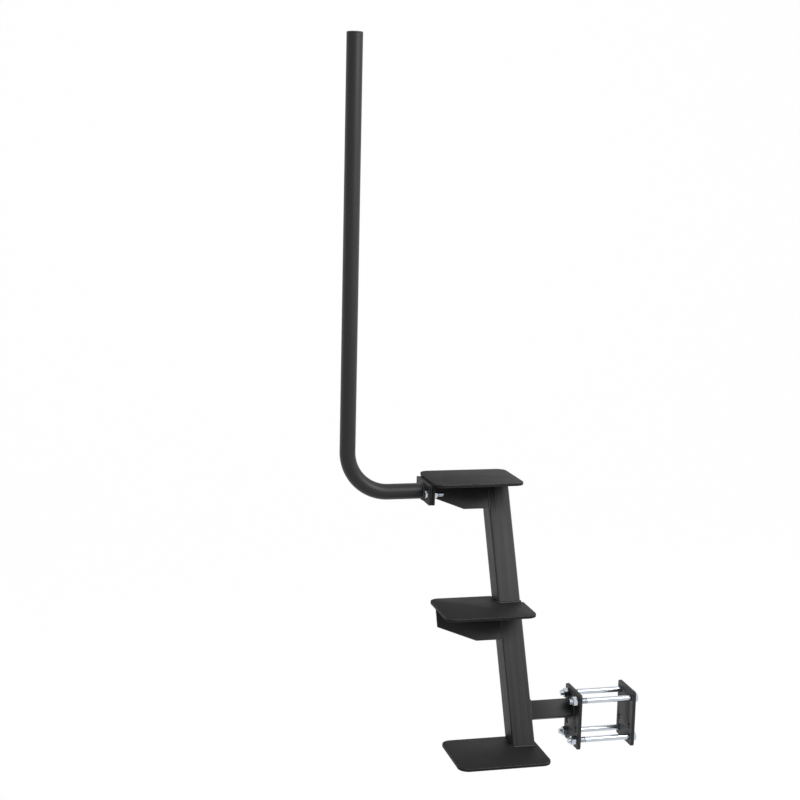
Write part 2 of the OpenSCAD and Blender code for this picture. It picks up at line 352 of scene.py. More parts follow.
# %% [markdown]
# Rolled edges on the steel
#
# Sheared and sawn steel has its burr ground off, and the powder rounds what is left, so each edge
# shows a thin line of light. The solids have knife edges. A copy of each is welded into one mesh,
# its flat faces are joined again, and a bevel rounds every edge that turns by more than 30 degrees.
# A Bevel node could fake this in the shader, but then the mesh itself would stay sharp. An attribute
# named edge marks the rounded strip, and the paint is lighter there: rubbed thin, and a painted highlight.

# %% Round off the edges of a solid
SHARP_TURN = radians(30)
NARROW = 1.2


def mark_edges(piece, round_off):
    """Marks the faces that the bevel made: their two shortest sides are about as long as round_off."""
    mesh = piece.data
    marks = mesh.attributes.new("edge", "FLOAT", "FACE").data
    for face, mark in zip(mesh.polygons, marks):
        sides = sorted((mesh.vertices[a].co - mesh.vertices[b].co).length for a, b in face.edge_keys)
        mark.value = 1.0 if sides[1] < NARROW * round_off else 0.0


def rounded_copy(node, round_off, steps=2):
    """A copy of a solid in its place, with its sharp edges rounded off by round_off."""
    mesh = bpy.data.meshes.new(node + "_clean")
    bm = bmesh.new()
    bm.from_mesh(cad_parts[node].data)
    bmesh.ops.remove_doubles(bm, verts=bm.verts, dist=2e-6)
    bmesh.ops.dissolve_limit(bm, angle_limit=radians(0.5), verts=bm.verts, edges=bm.edges)
    for face in bm.faces:
        face.smooth = True
    bm.to_mesh(mesh)
    bm.free()
    piece = placed(node + "_steel", mesh)
    bevel = piece.modifiers.new("edges", "BEVEL")
    bevel.width = round_off
    bevel.segments = steps
    bevel.limit_method = "ANGLE"
    bevel.angle_limit = SHARP_TURN
    bevel.harden_normals = True
    bevel.miter_outer = "MITER_ARC"
    made = baked(piece)
    mark_edges(made, round_off)
    return made


def finish_piece(piece, body, material, slot, *replaced):
    piece.data.materials.clear()
    piece.data.materials.append(material)
    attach(piece, body)
    if replaced:
        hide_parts(*replaced)
    return piece


steel_parts = {
    "riser": (0.8, lit_riser_black, LADDER), "bottom_step": (1.0, shaded_tread_black, LADDER),
    "middle_step": (1.0, shaded_tread_black, LADDER), "top_step": (1.0, shaded_tread_black, LADDER),
    "middle_gusset": (0.8, frame_black, LADDER), "top_gusset": (0.8, frame_black, LADDER),
    "fixed_flange": (1.6, flange_black, LADDER), "rail_flange": (1.6, flange_black, LADDER),
    "arm": (0.6, frame_black, LADDER), "fixed_clamp_plate": (0.8, frame_black, LADDER),
    "outer_clamp_plate": (0.8, frame_black, JAW),
}
for node, (round_mm, material, body) in steel_parts.items():
    steel = finish_piece(rounded_copy(node, round_mm * MM), body, material, "frame_paint", node)
    print(steel.name, len(steel.data.polygons), "faces")

# %% [markdown]
# A dark line between the flange plates
#
# The two flange plates are bolted flat together, but powder never lies quite even, and no light
# gets into the joint. The solids touch, and would look like one thick plate. A dark stripe in the
# paint would serve one view only, so each dressed plate is made a little thinner on the side of the
# joint, and the gap between them is real.

# %% Leave a gap between the flange plates
JOINT_LINE = 1.2 * MM
for node, outer_side in (("rail_flange", min), ("fixed_flange", max)):
    plate = bpy.data.objects[node + "_steel"].data
    across = [v.co.x for v in plate.vertices]
    outer_x, thick = outer_side(across), max(across) - min(across)
    for v in plate.vertices:
        v.co.x = outer_x + (v.co.x - outer_x) * (1 - JOINT_LINE / 2 / thick)
    print(node, "thickness of the dressed plate in mm:", round((thick - JOINT_LINE / 2) / MM, 2))

# %% [markdown]
# The hand rail
#
# The rail is one tube, bent cold round a former, so it keeps its diameter and its wall all along.
# Geometry Nodes sweep two circles along its middle line, the outer skin and the bore, and the
# sizes are named inputs, so another tube is a matter of one number. The line itself is straight,
# then a quarter turn, then straight up. A curve object with a round bevel would give the skin as
# well, but not a wall with a bore inside.

# %% Sweep the tube
def named_inputs(modifier, values):
    """Sets a modifier's inputs by their sockets' identifiers."""
    for item in modifier.node_group.interface.items_tree:
        if item.item_type == "SOCKET" and item.in_out == "INPUT" and item.name in values:
            modifier[item.identifier] = values[item.name]


def geometry_tree(name, inputs):
    """A new Geometry Nodes tree with a geometry input and output, and named inputs in between."""
    tree = bpy.data.node_groups.new(name, "GeometryNodeTree")
    tree.interface.new_socket("Geometry", in_out="INPUT", socket_type="NodeSocketGeometry")
    for key, (kind, value) in inputs.items():
        socket = tree.interface.new_socket(key, in_out="INPUT", socket_type="NodeSocket" + kind)
        if value is not None:
            socket.default_value = value
    tree.interface.new_socket("Geometry", in_out="OUTPUT", socket_type="NodeSocketGeometry")
    return tree, tree.nodes.new("NodeGroupInput"), tree.nodes.new("NodeGroupOutput")


def close_tree(tree, made, material, out):
    """Ends a tree with Realize Instances and Set Material."""
    real = add_node(tree, "GeometryNodeRealizeInstances", {0: made})
    coated = add_node(tree, "GeometryNodeSetMaterial", {0: real.outputs[0], "Material": material})
    tree.links.new(coated.outputs[0], out.inputs[0])


def run_tree(piece, tree, name, **values):
    """Puts a tree on a piece, sets its inputs, and turns the result into a plain mesh."""
    modifier = piece.modifiers.new("tree", "NODES")
    modifier.node_group = tree
    named_inputs(modifier, {key.replace("_", " "): value for key, value in values.items()})
    return baked(piece, name)


def tube_tree():
    tree, given, out = geometry_tree("bent_tube", {
        "Outer Diameter": ("Float", 0.03), "Wall": ("Float", 0.0026), "Sides": ("Int", 48),
        "Material": ("Material", None)})
    line = add_node(tree, "GeometryNodeMeshToCurve", {0: given.outputs["Geometry"]}).outputs[0]
    outer_r = math_node(tree, "MULTIPLY", given.outputs["Outer Diameter"], 0.5)
    inner_r = math_node(tree, "SUBTRACT", outer_r, given.outputs["Wall"])
    skins = []
    for radius in (outer_r, inner_r):
        ring = add_node(tree, "GeometryNodeCurvePrimitiveCircle",
                        {"Resolution": given.outputs["Sides"], "Radius": radius}).outputs[0]
        swept = add_node(tree, "GeometryNodeCurveToMesh", {"Curve": line, "Profile Curve": ring})
        skins.append(swept.outputs[0])
    bore = add_node(tree, "GeometryNodeFlipFaces", {0: skins[1]}).outputs[0]
    both = add_node(tree, "GeometryNodeJoinGeometry")
    for skin in (bore, skins[0]):
        tree.links.new(skin, both.inputs[0])
    close_tree(tree, both.outputs[0], given.outputs["Material"], out)
    return tree


def line_piece(name, points, closed=False):
    """A chain of edges, for a tree to follow."""
    ends = [(i, i + 1) for i in range(len(points) - 1)] + ([(len(points) - 1, 0)] if closed else [])
    return new_piece(name, points, [], ends)


rail_low, rail_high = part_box("hand_rail")
rail_x = rail_low.x + RAIL_D / 2
rail_y = (rail_low.y + rail_high.y) / 2
rail_z = rail_low.z + RAIL_D / 2
BEND_STEPS = 24
bend = [(rail_x + RAIL_BEND * (1 - sin(a)), rail_y, rail_z + RAIL_BEND * (1 - cos(a)))
        for a in (radians(90 * i / BEND_STEPS) for i in range(1, BEND_STEPS))]
rail_line = [(rail_high.x, rail_y, rail_z), (rail_x + RAIL_BEND, rail_y, rail_z), *bend,
             (rail_x, rail_y, rail_z + RAIL_BEND), (rail_x, rail_y, rail_high.z)]
rail = run_tree(line_piece("rail_line", rail_line), tube_tree(), "rail_tube",
                Outer_Diameter=RAIL_D, Wall=RAIL_WALL, Sides=48, Material=rail_black)


def bridge_ends(piece):
    """Joins the skin and the bore at the tube's two open ends, which x + 2 z tells apart."""
    def place_of(v):
        return v.co.x + v.co.z * 2

    bm = bmesh.new()
    bm.from_mesh(piece.data)
    bmesh.ops.remove_doubles(bm, verts=bm.verts, dist=1e-6)
    rim = [e for e in bm.edges if e.is_boundary]
    for end in (min, max):
        far = end(place_of(v) for e in rim for v in e.verts)
        here = [e for e in rim if all(abs(place_of(v) - far) < RAIL_D * 2.3 for v in e.verts)]
        bmesh.ops.bridge_loops(bm, edges=here)
    bm.to_mesh(piece.data)
    bm.free()
    face_outwards(piece)
    piece.data.set_sharp_from_angle(angle=radians(40))


bridge_ends(rail)
finish_piece(rail, LADDER, rail_black, "frame_paint", "hand_rail")
print("rail tube:", len(rail.data.polygons), "faces, length of its line in mm:",
      round(sum((Vector(a) - Vector(b)).length for a, b in zip(rail_line, rail_line[1:])) / MM))

# %% [markdown]
# The plug in the rail's end
#
# A plastic plug closes the tube and keeps the rain out. Its solid has the right shape, so a copy is
# all that it takes, with a softer edge than the steel has, as it comes from a mould.

# %% Plug in the rail's end
plug = finish_piece(rounded_copy("rail_cap", 1.2 * MM, 3), LADDER, cap_plastic, "cap", "rail_cap")
print("rail plug:", len(plug.data.polygons), "faces")

# %% [markdown]
# Weld beads
#
# Where two steel parts meet, the welder lays a bead of molten wire that freezes in small waves, each
# one bowed like a fish scale. A tube swept along each joint gives the bead, and the waves come from
# a rule along the line: the radius rises and falls once every pitch, and the bow makes the crown
# run ahead of the sides. Noise with a fixed seed keeps the hand of the welder. Geometry Nodes are
# the right tool, since one tree serves every joint and follows any path.

# %% Weld bead tree
def kept_value(tree, geometry, name, value):
    """Keeps a value on the points of a line as a named attribute."""
    given = {"Geometry": geometry, "Name": name, "Value": value}
    return add_node(tree, "GeometryNodeStoreNamedAttribute", given, data_type="FLOAT",
                    domain="POINT").outputs[0]


def named_value(tree, name):
    return add_node(tree, "GeometryNodeInputNamedAttribute", {"Name": name}, data_type="FLOAT").outputs[0]


def weld_tree():
    tree, given, out = geometry_tree("weld_bead", {
        "Bead Radius": ("Float", 0.003), "Wave Pitch": ("Float", 0.0022),
        "Wave Height": ("Float", 0.0004), "Bow": ("Float", 0.9), "Unevenness": ("Float", 0.12),
        "Seed": ("Int", 1), "Material": ("Material", None)})
    g = given.outputs

    # the tube, which keeps how far along and how far across the bead each of its points lies
    line = add_node(tree, "GeometryNodeMeshToCurve", {0: g["Geometry"]}).outputs[0]
    spacing = math_node(tree, "DIVIDE", g["Wave Pitch"], 6.0)
    line = add_node(tree, "GeometryNodeResampleCurve", {"Curve": line, "Length": spacing},
                    mode="LENGTH").outputs[0]
    along = add_node(tree, "GeometryNodeSplineParameter").outputs["Length"]
    line = kept_value(tree, line, "along", along)
    ring = add_node(tree, "GeometryNodeCurvePrimitiveCircle",
                    {"Resolution": 14, "Radius": g["Bead Radius"]}).outputs[0]
    place = add_node(tree, "GeometryNodeInputPosition").outputs[0]
    side = add_node(tree, "ShaderNodeSeparateXYZ", {0: place}).outputs[0]
    across = math_node(tree, "ABSOLUTE", math_node(tree, "DIVIDE", side, g["Bead Radius"]))
    ring = kept_value(tree, ring, "across", across)
    bead = add_node(tree, "GeometryNodeCurveToMesh", {"Curve": line, "Profile Curve": ring,
                                                      "Fill Caps": True}).outputs[0]

    # the waves, each one bowed forwards in the middle
    far_along, far_across = named_value(tree, "along"), named_value(tree, "across")
    squared = math_node(tree, "MULTIPLY", far_across, far_across)
    bow = math_node(tree, "MULTIPLY", squared, g["Bow"])
    count = math_node(tree, "ADD", math_node(tree, "DIVIDE", far_along, g["Wave Pitch"]), bow)
    phase = math_node(tree, "POWER", math_node(tree, "FRACT", count), 0.7)
    wave = math_node(tree, "SINE", math_node(tree, "MULTIPLY", phase, pi))
    lift = math_node(tree, "MULTIPLY", wave, g["Wave Height"])

    # the unevenness of the welder's hand
    seed_shift = add_node(tree, "ShaderNodeCombineXYZ", {0: g["Seed"]}).outputs[0]
    elsewhere = add_node(tree, "ShaderNodeVectorMath", {0: place, 1: seed_shift}, operation="ADD")
    uneven = math_node(tree, "MULTIPLY", g["Unevenness"], g["Bead Radius"])
    sway = swing(tree, noise(tree, elsewhere.outputs[0], 170.0), uneven)
    normal = add_node(tree, "GeometryNodeInputNormal").outputs[0]
    push = add_node(tree, "ShaderNodeVectorMath", {0: normal, "Scale": math_node(tree, "ADD", lift, sway)},
                    operation="SCALE").outputs[0]
    waved = add_node(tree, "GeometryNodeSetPosition", {"Geometry": bead, "Offset": push}).outputs[0]
    smooth = add_node(tree, "GeometryNodeSetShadeSmooth", {"Geometry": waved}).outputs[0]
    close_tree(tree, smooth, g["Material"], out)
    return tree


weld = weld_tree()
print("weld_bead tree:", len(weld.nodes), "nodes")

# %% [markdown]
# Where the welder went
#
# The riser is welded to the three steps, each gusset to the riser and to the step above it, the
# fixed flange to the top step, the rail to its flange, and the arm to the riser and to the fixed
# clamp plate. Each path is a line of points in the corner where the two parts meet. The riser's left
# side stands bare on the steps, as its foot looks plain and dark in the photograph. In front, the
# groove between a gusset and the riser's round corner is filled and ground flush, so those beads
# lie deeper and have hardly any waves.

# %% Weld paths
half = RISER_W / 2
left_x = foot.x - half
right_x = foot.x + half


def riser_corner(side_x, side_y, z):
    """Points of a rounded corner of the riser where a level plane at height z cuts it."""
    centre_x = foot.x + side_x * (half - RISER_CORNER)
    centre_y = side_y * (half - RISER_CORNER)
    lean_y = foot.y + (z - foot_z) * tan(LEAN)
    points = []
    for i in range(7):
        a = radians(15 * i)
        dx, dy = RISER_CORNER * sin(a) * side_x, RISER_CORNER * cos(a) * side_y
        points.append((centre_x + dx, lean_y + (centre_y + dy) / cos(LEAN), z))
    return points


def round_riser(z, right_side):
    """A path along the riser's front and its two corners, and along its right side if asked."""
    back_y = foot.y + (z - foot_z) * tan(LEAN) + half / cos(LEAN) - 5 * MM
    path = riser_corner(-1, -1, z)[::-1] + riser_corner(1, -1, z)
    return path + ([(right_x, back_y, z)] if right_side else [])


welds = {
    "weld_bottom_step": round_riser(foot_z, True),
    "weld_middle_step_top": round_riser(middle_high.z, False),
    "weld_middle_step_under": round_riser(middle_low.z, False),
    "weld_top_step": round_riser(top_low.z, True),
}
print("riser welds:", sorted(welds))

# %% Gusset and flange weld paths
BEAD_R = 2.8 * MM
GUSSET_SET_BACK = 1 * MM
GUSSET_T = 5 * MM
FOOT_TURN_MM = [(1.5, 0.0), (0.7, 0.2), (0.2, 0.7), (0.0, 1.5)]
ground_welds = {}


def at_riser(x, up, forward):
    """A point beside the riser, up along its lean and forward of its middle line."""
    return Vector((x, foot.y + up * sin(LEAN) - forward * cos(LEAN),
                   foot_z + up * cos(LEAN) + forward * sin(LEAN)))


for name, step_low in (("middle", middle_low), ("top", top_low)):
    gusset_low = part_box(name + "_gusset")[0]
    front = half - GUSSET_SET_BACK
    back = front - GUSSET_T
    lowest = (gusset_low.z - foot_z - back * sin(LEAN)) / cos(LEAN)
    highest = (step_low.z - foot_z - back * sin(LEAN)) / cos(LEAN) - 4 * MM
    # down behind the gusset, round its foot and forward under it
    welds["weld_" + name + "_gusset_riser"] = [
        at_riser(left_x, highest, back),
        *[at_riser(left_x, lowest + up * MM, back + ahead * MM) for up, ahead in FOOT_TURN_MM],
        at_riser(left_x, lowest, front - 0.5 * MM)]
    # in the groove in front of it
    ground_welds["weld_" + name + "_gusset_flush"] = [
        at_riser(left_x + 0.6 * MM, up, half - BEAD_R - 0.2 * MM) for up in (lowest + 1.5 * MM, highest)]
    # along the step above it
    front_y = foot.y + (step_low.z - foot_z) * tan(LEAN) - front / cos(LEAN)
    welds["weld_" + name + "_gusset_front"] = [(left_x - 4 * MM, front_y, step_low.z),
                                               (gusset_low.x + 10 * MM, front_y, step_low.z)]
    back_y = front_y + GUSSET_T / cos(LEAN)
    welds["weld_" + name + "_gusset_back"] = [(left_x - 12 * MM, back_y, step_low.z),
                                              (gusset_low.x + 30 * MM, back_y, step_low.z)]
flange_low, flange_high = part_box("fixed_flange")
welds["weld_fixed_flange"] = [(flange_high.x, flange_low.y + 6 * MM, flange_high.z),
                              (flange_high.x, flange_high.y - 6 * MM, flange_high.z)]
print("riser, gusset and flange welds:", len(welds), "raised and", len(ground_welds), "ground flush")


# %% Rail and arm weld paths
def ring_path(x, y, z, radius, count=40):
    angles = [2 * pi * i / count for i in range(count)]
    return [(x, y + radius * cos(a), z + radius * sin(a)) for a in angles]


def arm_path(x):
    """A path round the arm where the plane at x cuts it."""
    centre_y, centre_z = (arm_low.y + arm_high.y) / 2, (arm_low.z + arm_high.z) / 2
    flat = ARM_W / 2 - ARM_CORNER
    points = []
    for corner, (sy, sz) in enumerate(((1, 1), (-1, 1), (-1, -1), (1, -1))):
        for i in range(6):
            a = radians(90 * corner + 18 * i)
            v, w = sy * flat + ARM_CORNER * cos(a), sz * flat + ARM_CORNER * sin(a)
            points.append((x, centre_y + v * cos(LEAN) + w * sin(LEAN),
                           centre_z - v * sin(LEAN) + w * cos(LEAN)))
    return points


closed_welds = {
    "weld_rail_flange": ring_path(rail_high.x, rail_y, rail_z, RAIL_D / 2 - 1 * MM),
    "weld_arm_riser": arm_path(right_x),
    "weld_arm_clamp": arm_path(fixed_low.x),
}
print("closed welds:", sorted(closed_welds))

# %% Lay the beads
RAIL_BEAD_R = 5.0 * MM
WAVE_PITCH = 2.3 * MM
WAVE_HEIGHT = 0.45 * MM
GROUND_WAVE_HEIGHT = 0.08 * MM
for seed, (name, path) in enumerate([*welds.items(), *ground_welds.items(), *closed_welds.items()]):
    bead = run_tree(line_piece(name + "_line", path, name in closed_welds), weld, name,
                    Bead_Radius=RAIL_BEAD_R if name == "weld_rail_flange" else BEAD_R,
                    Wave_Height=GROUND_WAVE_HEIGHT if name in ground_welds else WAVE_HEIGHT,
                    Wave_Pitch=WAVE_PITCH, Bow=0.9, Unevenness=0.3, Seed=seed + 1, Material=weld_black)
    finish_piece(bead, LADDER, weld_black, "frame_paint")
    print(name, len(bead.data.polygons), "faces")

# %% [markdown]
# Bolts and nuts
#
# A hexagon bolt is forged, its head's corners are cut off by a cone, and its thread is rolled. The
# thread is a ridge that climbs by one pitch a turn. A tree takes a plain cylinder and moves each
# point in or out by where it stands on that climb, so the thread is real shape and not a picture
# of one. The heads and nuts are lathe profiles on six sides, made point by point.

# %% Thread tree
def thread_tree():
    tree, given, out = geometry_tree("screw_thread", {
        "Major Diameter": ("Float", 0.0127), "Pitch": ("Float", 0.002), "Depth": ("Float", 0.0011),
        "Length": ("Float", 0.04), "Sides": ("Int", 40), "Rows": ("Int", 160),
        "Material": ("Material", None)})
    g = given.outputs
    radius = math_node(tree, "MULTIPLY", g["Major Diameter"], 0.5)
    rod = add_node(tree, "GeometryNodeMeshCylinder",
                   {"Vertices": g["Sides"], "Side Segments": g["Rows"], "Radius": radius,
                    "Depth": g["Length"]}).outputs["Mesh"]
    place = add_node(tree, "GeometryNodeInputPosition").outputs[0]
    x, y, z = add_node(tree, "ShaderNodeSeparateXYZ", {0: place}).outputs

    # where a point stands between one turn of the ridge and the next, as 0 to 1
    turn = math_node(tree, "DIVIDE", math_node(tree, "ARCTAN2", y, x), 2 * pi)
    turns_up = math_node(tree, "DIVIDE", z, g["Pitch"])
    climb = math_node(tree, "FRACT", math_node(tree, "SUBTRACT", turns_up, turn))

    # 1 in the groove and 0 on the ridge, with sloped sides and a flat root and crest
    twice = math_node(tree, "MULTIPLY", climb, 2.0)
    groove = math_node(tree, "ABSOLUTE", math_node(tree, "SUBTRACT", twice, 1.0))
    groove = add_node(tree, "ShaderNodeMapRange", {0: groove, 1: 0.12, 2: 0.88, 3: 1.0, 4: 0.0}).outputs[0]
    inward = math_node(tree, "MULTIPLY", groove, g["Depth"])

    # the chamfered end
    half_length = math_node(tree, "MULTIPLY", g["Length"], 0.5)
    end_gap = math_node(tree, "SUBTRACT", half_length, z)
    point_cut = math_node(tree, "MAXIMUM", math_node(tree, "SUBTRACT", g["Depth"], end_gap), 0.0)
    inward = math_node(tree, "MAXIMUM", inward, point_cut)
    scale = math_node(tree, "SUBTRACT", 1.0, math_node(tree, "DIVIDE", inward, radius))
    moved_x, moved_y = (math_node(tree, "MULTIPLY", side, scale) for side in (x, y))
    moved = add_node(tree, "ShaderNodeCombineXYZ", {0: moved_x, 1: moved_y, 2: z}).outputs[0]
    cut = add_node(tree, "GeometryNodeSetPosition", {"Geometry": rod, "Position": moved}).outputs[0]
    close_tree(tree, cut, g["Material"], out)
    return tree


thread = thread_tree()
print("screw_thread tree:", len(thread.nodes), "nodes")

# %% Hexagon profiles
HEX_SIDES = 72
CHAMFER = radians(30)
CHAMFER_CIRCLE = 0.95
COUNTERSINK = 0.06


def circle_points(radius, z, count, start=0.0):
    angles = [2 * pi * i / count + start for i in range(count)]
    return [(radius * cos(a), radius * sin(a), z) for a in angles]


def hexagon_skin(flats, profile):
    """Points and faces of a hexagon along Z. profile is a list of (height, limit), where limit is
    the radius of a cone that cuts the hexagon's corners at that height."""
    points, faces = [], []
    for height, limit in profile:
        for i in range(HEX_SIDES):
            a = 2 * pi * i / HEX_SIDES
            hexagon_r = flats / 2 / cos((a + pi / 6) % (pi / 3) - pi / 6)
            r = min(hexagon_r, limit)
            points.append((r * cos(a + pi / 2), r * sin(a + pi / 2), height))
    for row in range(len(profile) - 1):
        a, b = row * HEX_SIDES, (row + 1) * HEX_SIDES
        for i in range(HEX_SIDES):
            j = (i + 1) % HEX_SIDES
            faces.append((a + i, a + j, b + j, b + i))
    return points, faces


def hexagon_profile(flats, height, washer_face):
    """Profile rows from the bearing face up: its chamfer or washer face, and the chamfer on top."""
    circle = flats / 2 * CHAMFER_CIRCLE
    corner = flats / 2 / cos(pi / 6)
    drop = (corner - circle) * tan(CHAMFER)
    steps = [i / 6 for i in range(7)]
    top = [(height - drop * (1 - s), corner + (circle - corner) * s) for s in steps]
    if washer_face:
        return [(0.0, circle), (washer_face, circle), (washer_face + 1e-5, corner)] + top
    return [(drop * s, circle + (corner - circle) * s) for s in steps] + top


def hexagon_piece(name, flats, height, washer_face=0.0, bore=0.0):
    """A hexagon head, or a nut if it has a bore, along Z from its bearing face."""
    points, faces = hexagon_skin(flats, hexagon_profile(flats, height, washer_face))
    last = len(points) - HEX_SIDES
    if bore:
        hole_r, sink = bore / 2, bore * COUNTERSINK
        wide_r = hole_r + sink
        start = len(points)
        for r, z in ((wide_r, 0.0), (hole_r, sink), (hole_r, height - sink), (wide_r, height)):
            points += circle_points(r, z, HEX_SIDES, pi / 2)
        top_ring = start + 3 * HEX_SIDES
        for i in range(HEX_SIDES):
            j = (i + 1) % HEX_SIDES
            faces.append((start + i, start + j, j, i))
            faces.append((last + i, last + j, top_ring + j, top_ring + i))
            for a in range(start, top_ring, HEX_SIDES):
                b = a + HEX_SIDES
                faces.append((a + j, a + i, b + i, b + j))
    else:
        faces.append(tuple(range(HEX_SIDES))[::-1])
        faces.append(tuple(range(last, last + HEX_SIDES)))
    return face_outwards(new_piece(name, points, faces), merge_within=1e-7)


# %% [markdown]
# Assemble a bolt
#
# A real bolt of this length is threaded only at its end. The head, the plain shank and the thread
# are made along Z and then joined and turned to lie along X, with the head on the right for the
# clamp and on the left for the rail's flange. Their places come from the boxes of the solids.

# %% Join, turn and place
SHARP_ON_BOLTS = radians(28)
THREAD_D_SHARE = 0.985
THREAD_DEPTH_SHARE = 0.6
ROWS_A_TURN = 9


def joined(name, pieces):
    """One mesh from several, each in its place."""
    bm = bmesh.new()
    for piece in pieces:
        bm.from_mesh(piece.data)
        bpy.data.objects.remove(piece)
    for face in bm.faces:
        face.smooth = True
    mesh = bpy.data.meshes.new(name)
    bm.to_mesh(mesh)
    bm.free()
    mesh.set_sharp_from_angle(angle=SHARP_ON_BOLTS)
    return placed(name, mesh)


def along_x(piece, x, y, z, direction):
    """Lays a piece that was made along Z along X, at a point, facing the direction given."""
    lay = Matrix.Rotation(direction * pi / 2, 4, "Y")
    piece.data.transform(Matrix.Translation((x, y, z)) @ lay)
    return piece


def shank(name, diameter, length):
    """A plain round bar from 0 down along Z."""
    sides = 40
    points = circle_points(diameter / 2, 0.0, sides) + circle_points(diameter / 2, -length, sides)
    faces = [(i, (i + 1) % sides, sides + (i + 1) % sides, sides + i) for i in range(sides)]
    faces += [tuple(range(sides)), tuple(range(sides, 2 * sides))[::-1]]
    return face_outwards(new_piece(name, points, faces))


def bolt(name, diameter, pitch, length, threaded, flats, head_h):
    """A hexagon bolt along Z: its head is above 0 and its shank goes down to minus length."""
    real_d = diameter * THREAD_D_SHARE
    head = hexagon_piece(name + "_head", flats, head_h, washer_face=0.35 * MM)
    bar = shank(name + "_bar", real_d, length - threaded)
    seed = new_piece(name + "_thread", [(0, 0, 0)], [])
    screw = run_tree(seed, thread, name + "_thread", Major_Diameter=real_d, Pitch=pitch,
                     Depth=THREAD_DEPTH_SHARE * pitch, Length=threaded, Sides=36,
                     Rows=ceil(threaded / pitch * ROWS_A_TURN), Material=zinc)
    screw.data.transform(Matrix.Rotation(pi, 4, "X"))
    screw.data.transform(Matrix.Translation((0, 0, -length + threaded / 2)))
    return joined(name, [head, bar, screw])


def nut(name, flats, height, bore):
    piece = hexagon_piece(name, flats, height, bore=bore)
    piece.data.set_sharp_from_angle(angle=SHARP_ON_BOLTS)
    return piece


# %% [markdown]
# The clamp's and the rail's bolts
#
# Four long bolts pull the outer plate against the tongue, and two short ones hold the rail's flange.
# One maker serves both, with its own sizes for each. The clamp's bolts ride on the sliding jaw, as
# they move with the outer plate, while their nuts stay on the fixed plate.

# %% Clamp bolts and nuts
CLAMP_BOLT = {"diameter": 12.7 * MM, "pitch": 1.954 * MM, "threaded": 40 * MM, "head_h": 8 * MM}
CLAMP_FLATS = 19 * MM
CLAMP_NUT_BORE = 13.1 * MM
for place in ("upper_front", "upper_back", "lower_front", "lower_back"):
    low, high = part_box("bolt_" + place)
    y, z = (low.y + high.y) / 2, (low.z + high.z) / 2
    seat_x = high.x - CLAMP_BOLT["head_h"]
    made = bolt("clamp_bolt_" + place, length=seat_x - low.x, flats=CLAMP_FLATS, **CLAMP_BOLT)
    along_x(made, seat_x, y, z, 1)
    finish_piece(made, JAW, zinc, "zinc", "bolt_" + place)
    low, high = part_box("nut_" + place)
    made_nut = nut("clamp_nut_" + place, CLAMP_FLATS, high.x - low.x, CLAMP_NUT_BORE)
    along_x(made_nut, high.x, y, z, -1)
    finish_piece(made_nut, LADDER, zinc, "zinc", "nut_" + place)
    print(made.name, len(made.data.polygons), "faces;", made_nut.name, len(made_nut.data.polygons), "faces")

# %% Flange bolts and nuts
FLANGE_BOLT = {"diameter": 9.5 * MM, "pitch": 1.588 * MM, "threaded": 24 * MM, "head_h": 6 * MM}
FLANGE_FLATS = 14.3 * MM
FLANGE_NUT_BORE = 9.9 * MM
for place in ("front", "back"):
    low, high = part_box("rail_bolt_" + place)
    y, z = (low.y + high.y) / 2, (low.z + high.z) / 2
    seat_x = low.x + FLANGE_BOLT["head_h"]
    made = bolt("flange_bolt_" + place, length=high.x - seat_x, flats=FLANGE_FLATS, **FLANGE_BOLT)
    along_x(made, seat_x, y, z, -1)
    finish_piece(made, LADDER, zinc, "zinc", "rail_bolt_" + place)
    low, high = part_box("rail_nut_" + place)
    made_nut = nut("flange_nut_" + place, FLANGE_FLATS, high.x - low.x, FLANGE_NUT_BORE)
    along_x(made_nut, low.x, y, z, 1)
    finish_piece(made_nut, LADDER, zinc, "zinc", "rail_nut_" + place)
    print(made.name, made_nut.name)

# %% [markdown]
# Floor and backdrop
#
# The ladder hangs on the tongue of a trailer, so its lowest step is well above the ground. The
# floor is a plain pale sheet at that depth, which curves up into the backdrop, so that no line shows
# behind the ladder. More light could make it white, but it would wash out the black paint as well.
# So most of what the camera sees of the sheet is its own white, and the rest is lit and takes the
# ladder's shadow.

# %% Paper floor
PAPER_WHITE = 1.06
GROUND = -0.45
PAPER_FRONT, PAPER_BACK, PAPER_HALF_WIDTH, PAPER_TOP = -6.0, 3.5, 7.0, 6.0
PAPER_CURVE = 1.5


def seen_directly(tree):
    """1 for a ray from the camera, a reflection or glass, and 0 for one that lights a surface."""
    path = add_node(tree, "ShaderNodeLightPath").outputs
    seen = math_node(tree, "MAXIMUM", path["Is Camera Ray"], path["Is Glossy Ray"])
    return math_node(tree, "MAXIMUM", seen, path["Is Transmission Ray"])


def paper(name, shade, glow):
    """Pale paper: glow is the share of its own white in what is seen of it, and the rest is lit."""
    material, tree, shader = new_material(name)
    shader.inputs["Base Color"].default_value = (shade, shade, shade, 1)
    shader.inputs["Roughness"].default_value = 0.9
    shader.inputs["Specular IOR Level"].default_value = 0.1
    white = add_node(tree, "ShaderNodeEmission", {"Color": (1, 1, 1, 1), "Strength": PAPER_WHITE})
    share = math_node(tree, "MULTIPLY", seen_directly(tree), glow)
    mix = add_node(tree, "ShaderNodeMixShader", {0: share, 1: shader.outputs[0], 2: white.outputs[0]})
    tree.links.new(mix.outputs[0], tree.nodes["Material Output"].inputs["Surface"])
    return material


